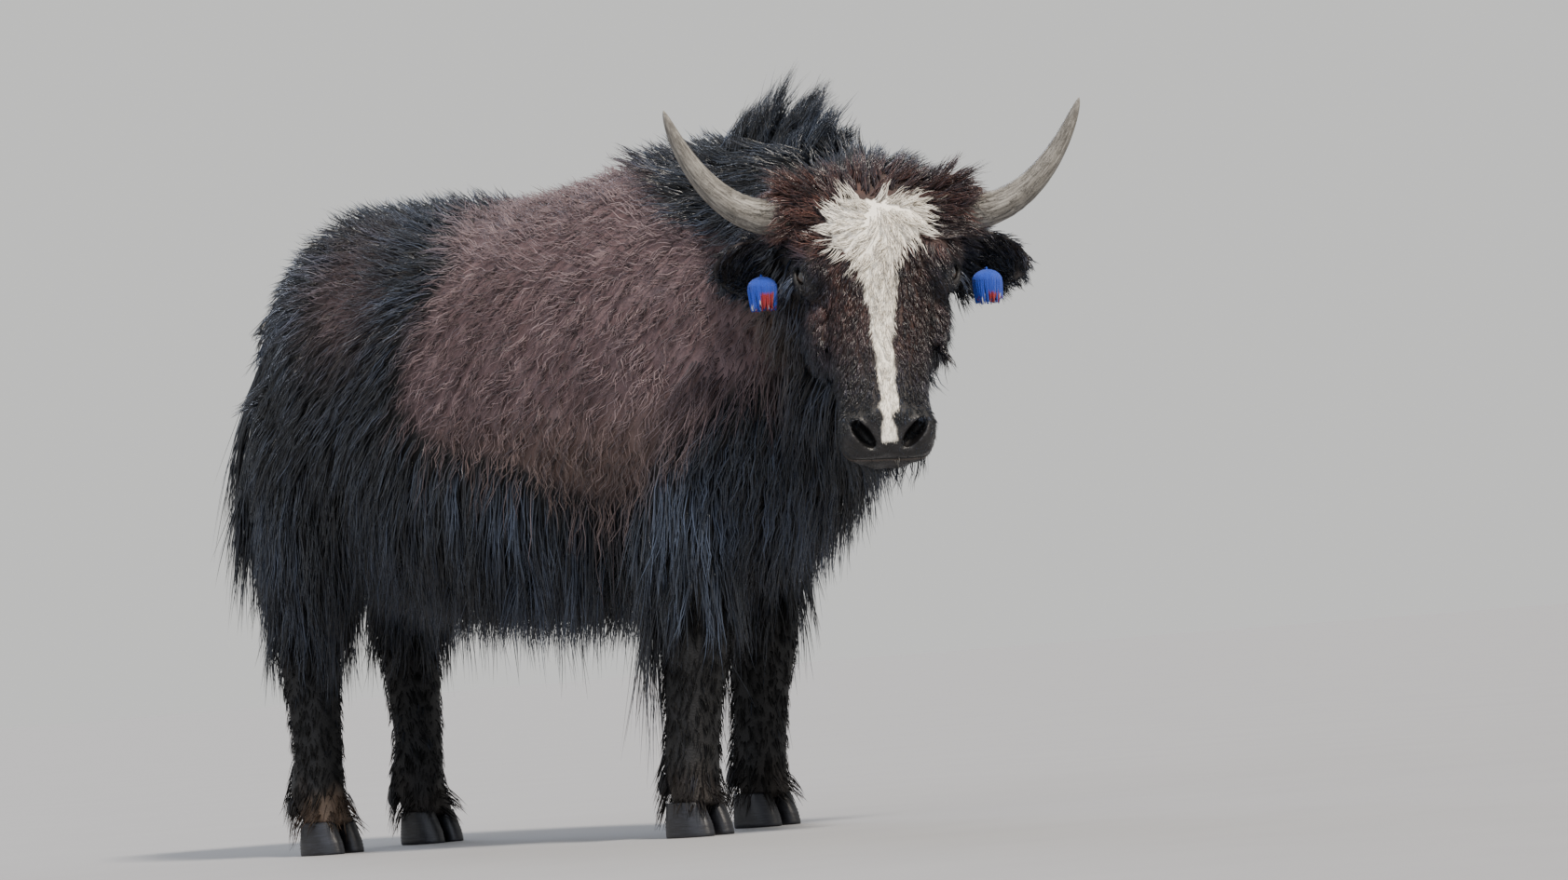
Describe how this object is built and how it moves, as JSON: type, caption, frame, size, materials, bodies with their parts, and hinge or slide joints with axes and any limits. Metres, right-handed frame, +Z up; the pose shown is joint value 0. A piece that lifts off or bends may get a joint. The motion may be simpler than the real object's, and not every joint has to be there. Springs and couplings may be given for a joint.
{
  "type": "life-size domestic yak model",
  "caption": "Life-size model of a long-haired domestic yak standing square with its head turned, upswept horns and a wool tassel at each ear.",
  "frame": {"origin": "on the floor under the centre of the outline", "axes": "+X the way the body faces, +Y to its left, +Z up"},
  "size_m": [1.9306, 0.7162, 1.2024],
  "materials": {
    "coat": "long shaggy hair, black with brown on the back and a white blaze down the face",
    "horn": "dry horn, satin, with fine lengthwise cracks",
    "hoof": "dark worn horn, satin",
    "eye": "wet gloss",
    "yarn": "matt wool yarn, blue with red and white ends"
  },
  "bodies": {
    "root": {"claw_front_left_left": "hoof", "claw_front_left_right": "hoof", "claw_front_right_left": "hoof", "claw_front_right_right": "hoof", "claw_hind_left_left": "hoof", "claw_hind_left_right": "hoof", "claw_hind_right_left": "hoof", "claw_hind_right_right": "hoof", "dewclaw_front_left_left": "hoof", "dewclaw_front_left_right": "hoof", "dewclaw_front_right_left": "hoof", "dewclaw_front_right_right": "hoof", "dewclaw_hind_left_left": "hoof", "dewclaw_hind_left_right": "hoof", "dewclaw_hind_right_left": "hoof", "dewclaw_hind_right_right": "hoof", "ear_left": "coat", "ear_right": "coat", "eye_left": "eye", "eye_right": "eye", "head": "coat", "horn_left": "horn", "horn_right": "horn", "leg_front_left": "coat", "leg_front_right": "coat", "leg_hind_left": "coat", "leg_hind_right": "coat", "neck": "coat", "tail": "coat", "tassel_left": "yarn", "tassel_right": "yarn", "torso": "coat"}
  },
  "joints": []
}
